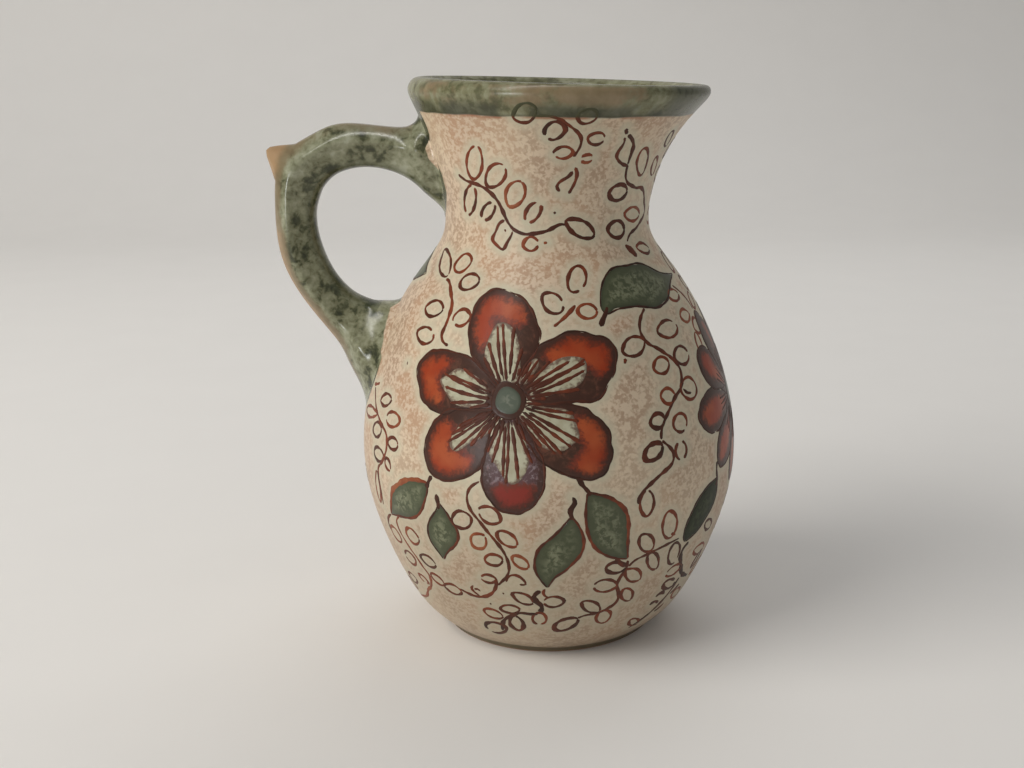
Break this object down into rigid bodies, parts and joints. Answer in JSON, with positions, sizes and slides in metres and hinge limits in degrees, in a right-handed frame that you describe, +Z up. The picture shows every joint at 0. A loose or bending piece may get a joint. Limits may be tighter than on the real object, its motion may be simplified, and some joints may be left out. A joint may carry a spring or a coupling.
{
  "type": "glazed earthenware jug",
  "caption": "Round-bellied earthenware jug with a flared lip, strap handle with thumb spur, hand-painted flower decoration and a glazed inside, for pouring drinks.",
  "frame": {"origin": "centre of the foot ring, on the surface the jug stands on", "axes": "+Z up along the thrown axis, +X towards the pouring side, handle towards -X, +Y away from the main painted flower"},
  "size_m": [0.1939, 0.1574, 0.231],
  "materials": {
    "clay_cream": "gloss",
    "glaze_green": "gloss",
    "paint_brown": "gloss",
    "paint_red": "gloss",
    "paint_mint": "gloss",
    "paint_green": "gloss"
  },
  "bodies": {
    "root": {"jug_body": "clay_cream", "glaze_lining": "glaze_green", "handle": "glaze_green", "thumb_spur": "glaze_green", "upper_lute": "glaze_green", "lower_lute": "glaze_green"}
  },
  "joints": []
}
